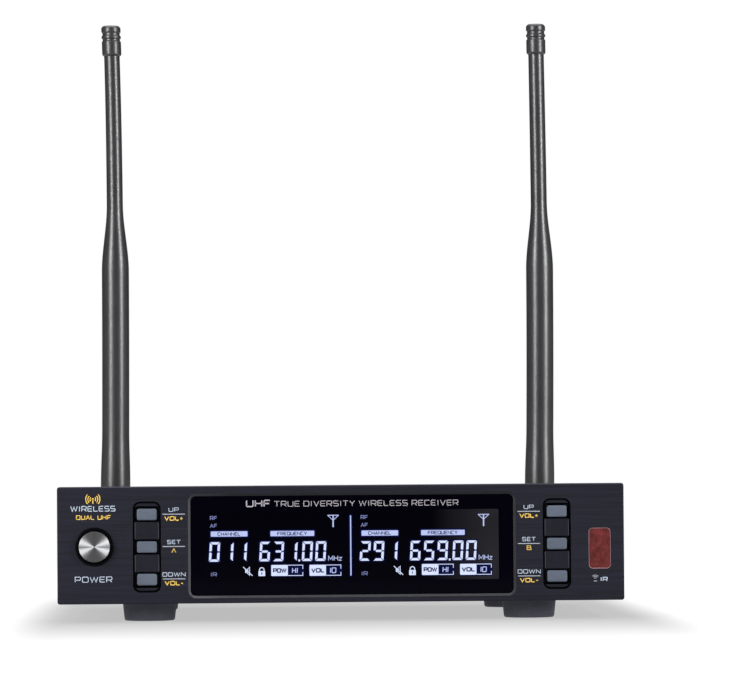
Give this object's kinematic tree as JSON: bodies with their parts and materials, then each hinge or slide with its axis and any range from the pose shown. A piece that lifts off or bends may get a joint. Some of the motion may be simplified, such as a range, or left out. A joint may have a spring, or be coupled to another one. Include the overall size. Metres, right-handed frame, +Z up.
{
  "type": "wireless receiver",
  "caption": "Half-rack wireless microphone receiver with a lit display, keys and power button on a brushed fascia, rubber feet, and folding rubber antennas on bayonet elbows.",
  "frame": {"origin": "on the floor under the feet, at the middle of the object's box", "axes": "+X right as seen from the front, +Y from the front towards the back, +Z up"},
  "size_m": [0.212, 0.204, 0.2423],
  "materials": {
    "fascia_aluminium": "black anodised, brushed",
    "window_acrylic": "gloss",
    "lcd_glass": "gloss",
    "lcd_light": "lit",
    "black_plastic": "satin",
    "button_plastic": "fine texture",
    "spun_metal": "spun",
    "ring_plastic": "satin",
    "ir_acrylic": "gloss",
    "sensor_resin": "gloss",
    "case_paint": "fine texture powder coat",
    "black_screw": "black oxide",
    "bright_screw": "zinc plated",
    "foot_rubber": "matte",
    "whip_rubber": "satin",
    "cap_plastic": "satin",
    "elbow_plastic": "satin",
    "nickel": "nickel plated",
    "brass_pin": "gold plated",
    "board_green": "solder mask",
    "switch_body": "satin",
    "standoff_brass": "turned",
    "shield_tin": "tin plated",
    "capacitor_sleeve": "shrink sleeve",
    "heatsink_aluminium": "black anodised",
    "ribbon_plastic": "ribbon",
    "connector_black": "satin"
  },
  "bodies": {
    "case": {"front_panel": "fascia_aluminium", "display_window": "window_acrylic", "lcd_frame": "black_plastic", "lcd_glass": "lcd_glass", "lcd_backlight": "lcd_light", "power_button_ring": "ring_plastic", "button_bezel_a": "black_plastic", "button_bezel_b": "black_plastic", "ir_window": "ir_acrylic", "ir_sensor": "sensor_resin", "front_pcb": "board_green", "tact_switches": "switch_body", "power_switch": "switch_body", "chassis": "case_paint", "front_bracket": "case_paint", "rear_panel": "case_paint", "top_cover": "case_paint", "cover_screws": "black_screw", "pan_screws": "bright_screw", "foot_front_left": "foot_rubber", "foot_front_right": "foot_rubber", "foot_rear_left": "foot_rubber", "foot_rear_right": "foot_rubber", "main_pcb": "board_green", "pcb_standoffs": "standoff_brass", "pcb_screws": "bright_screw", "rf_shields": "shield_tin", "capacitors": "capacitor_sleeve", "heatsink": "heatsink_aluminium", "ribbon_cable": "ribbon_plastic", "xlr_output_a": "connector_black", "xlr_output_b": "connector_black", "xlr_contacts": "brass_pin", "xlr_screws": "black_screw", "mix_output_jack": "connector_black", "socket_nuts": "nickel", "dc_inlet": "connector_black", "dc_pin": "nickel", "bnc_socket_left": "nickel", "bnc_socket_right": "nickel"},
    "power_button": {"power_button_cap": "spun_metal", "power_button_stem": "black_plastic"},
    "up_button_a": {"up_button_a": "button_plastic"},
    "set_button_a": {"set_button_a": "button_plastic"},
    "down_button_a": {"down_button_a": "button_plastic"},
    "up_button_b": {"up_button_b": "button_plastic"},
    "set_button_b": {"set_button_b": "button_plastic"},
    "down_button_b": {"down_button_b": "button_plastic"},
    "antenna_ring_left": {"coupling_ring_left": "nickel"},
    "antenna_elbow_left": {"elbow_left": "elbow_plastic", "hinge_pin_left": "nickel", "antenna_plug_left": "nickel"},
    "antenna_whip_left": {"whip_left": "whip_rubber", "tip_cap_left": "cap_plastic"},
    "antenna_ring_right": {"coupling_ring_right": "nickel"},
    "antenna_elbow_right": {"elbow_right": "elbow_plastic", "hinge_pin_right": "nickel", "antenna_plug_right": "nickel"},
    "antenna_whip_right": {"whip_right": "whip_rubber", "tip_cap_right": "cap_plastic"}
  },
  "joints": [
    {"name": "power_button_press", "type": "slide", "parent": "case", "child": "power_button", "axis": [0, 1, 0], "range_m": [0, 0.002], "stiffness_N_per_m": 800, "springref_m": -0.001},
    {"name": "up_button_a_press", "type": "slide", "parent": "case", "child": "up_button_a", "axis": [0, 1, 0], "range_m": [0, 0.0006], "stiffness_N_per_m": 2600, "springref_m": -0.0003},
    {"name": "set_button_a_press", "type": "slide", "parent": "case", "child": "set_button_a", "axis": [0, 1, 0], "range_m": [0, 0.0006], "stiffness_N_per_m": 2600, "springref_m": -0.0003},
    {"name": "down_button_a_press", "type": "slide", "parent": "case", "child": "down_button_a", "axis": [0, 1, 0], "range_m": [0, 0.0006], "stiffness_N_per_m": 2600, "springref_m": -0.0003},
    {"name": "up_button_b_press", "type": "slide", "parent": "case", "child": "up_button_b", "axis": [0, 1, 0], "range_m": [0, 0.0006], "stiffness_N_per_m": 2600, "springref_m": -0.0003},
    {"name": "set_button_b_press", "type": "slide", "parent": "case", "child": "set_button_b", "axis": [0, 1, 0], "range_m": [0, 0.0006], "stiffness_N_per_m": 2600, "springref_m": -0.0003},
    {"name": "down_button_b_press", "type": "slide", "parent": "case", "child": "down_button_b", "axis": [0, 1, 0], "range_m": [0, 0.0006], "stiffness_N_per_m": 2600, "springref_m": -0.0003},
    {"name": "antenna_left_swivel", "type": "hinge", "parent": "case", "child": "antenna_elbow_left", "pos_m": [-0.0885, 0.0806, 0.0287], "axis": [0, 1, 0], "range_deg": [-90, 15]},
    {"name": "antenna_left_tilt", "type": "hinge", "parent": "antenna_elbow_left", "child": "antenna_whip_left", "pos_m": [-0.0885, 0.0956, 0.0287], "axis": [-1, 0, 0], "range_deg": [0, 90]},
    {"name": "antenna_left_ring_turn", "type": "hinge", "parent": "case", "child": "antenna_ring_left", "pos_m": [-0.0885, 0.0806, 0.0287], "axis": [0, 1, 0], "range_deg": [0, 90]},
    {"name": "antenna_right_swivel", "type": "hinge", "parent": "case", "child": "antenna_elbow_right", "pos_m": [0.0885, 0.0806, 0.0287], "axis": [0, 1, 0], "range_deg": [-15, 90]},
    {"name": "antenna_right_tilt", "type": "hinge", "parent": "antenna_elbow_right", "child": "antenna_whip_right", "pos_m": [0.0885, 0.0956, 0.0287], "axis": [-1, 0, 0], "range_deg": [0, 90]},
    {"name": "antenna_right_ring_turn", "type": "hinge", "parent": "case", "child": "antenna_ring_right", "pos_m": [0.0885, 0.0806, 0.0287], "axis": [0, 1, 0], "range_deg": [0, 90]}
  ]
}
